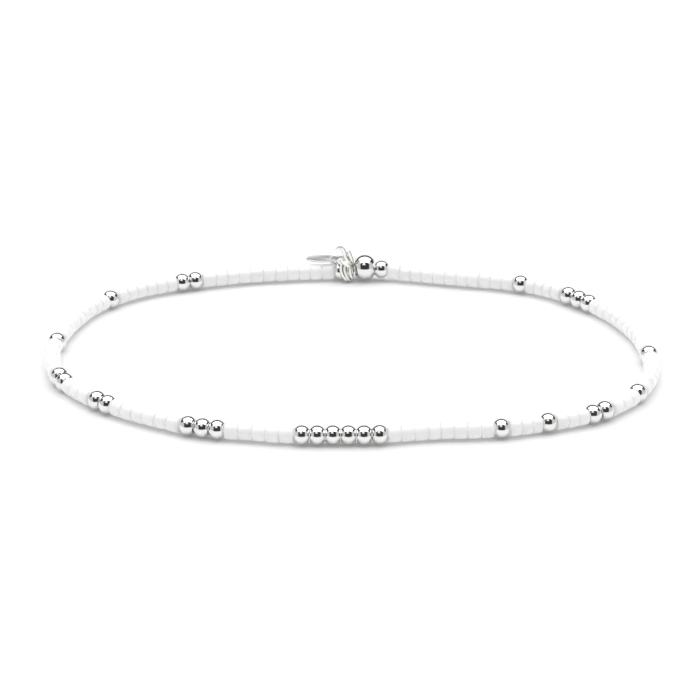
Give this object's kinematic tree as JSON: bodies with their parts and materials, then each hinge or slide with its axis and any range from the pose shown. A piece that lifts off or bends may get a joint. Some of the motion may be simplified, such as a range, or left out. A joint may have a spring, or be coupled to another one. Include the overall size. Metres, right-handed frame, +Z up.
{
  "type": "bracelet",
  "caption": "Stretch bracelet: one loop of small white glass seed beads with polished silver beads between them, knotted elastic cord, jump ring and plain oval tag.",
  "frame": {"origin": "middle of the loop at the level it lies on, under the centre of the bounding box", "axes": "+Z up, +X along the loop's longer way, -Y towards the front group of silver beads, +Y towards the knot"},
  "size_m": [0.065, 0.0468, 0.0042],
  "materials": {
    "white_glass": "glossy opaque white glass",
    "polished_silver": "mirror polished silver",
    "clear_elastic": "clear stretch cord, faintly yellow"
  },
  "bodies": {
    "root": {"silver_bead_01": "polished_silver", "silver_bead_02": "polished_silver", "silver_bead_03": "polished_silver", "silver_bead_04": "polished_silver", "silver_bead_05": "polished_silver", "silver_bead_06": "polished_silver", "silver_bead_07": "polished_silver", "silver_bead_08": "polished_silver", "silver_bead_09": "polished_silver", "silver_bead_10": "polished_silver", "silver_bead_11": "polished_silver", "silver_bead_12": "polished_silver", "silver_bead_13": "polished_silver", "silver_bead_14": "polished_silver", "silver_bead_15": "polished_silver", "silver_bead_16": "polished_silver", "silver_bead_17": "polished_silver", "silver_bead_18": "polished_silver", "silver_bead_19": "polished_silver", "silver_bead_20": "polished_silver", "silver_bead_21": "polished_silver", "silver_bead_22": "polished_silver", "silver_bead_23": "polished_silver", "silver_bead_24": "polished_silver", "silver_bead_25": "polished_silver", "silver_bead_26": "polished_silver", "silver_bead_27": "polished_silver", "silver_bead_28": "polished_silver", "silver_bead_29": "polished_silver", "large_silver_bead": "polished_silver", "jump_ring": "polished_silver", "tag": "polished_silver", "seed_run_01": "white_glass", "seed_run_02": "white_glass", "seed_run_03": "white_glass", "seed_run_04": "white_glass", "seed_run_05": "white_glass", "seed_run_06": "white_glass", "seed_run_07": "white_glass", "seed_run_08": "white_glass", "seed_run_09": "white_glass", "seed_run_10": "white_glass", "seed_run_11": "white_glass", "seed_run_12": "white_glass", "seed_run_13": "white_glass", "seed_run_14": "white_glass", "seed_run_15": "white_glass", "elastic_cord": "clear_elastic"}
  },
  "joints": []
}
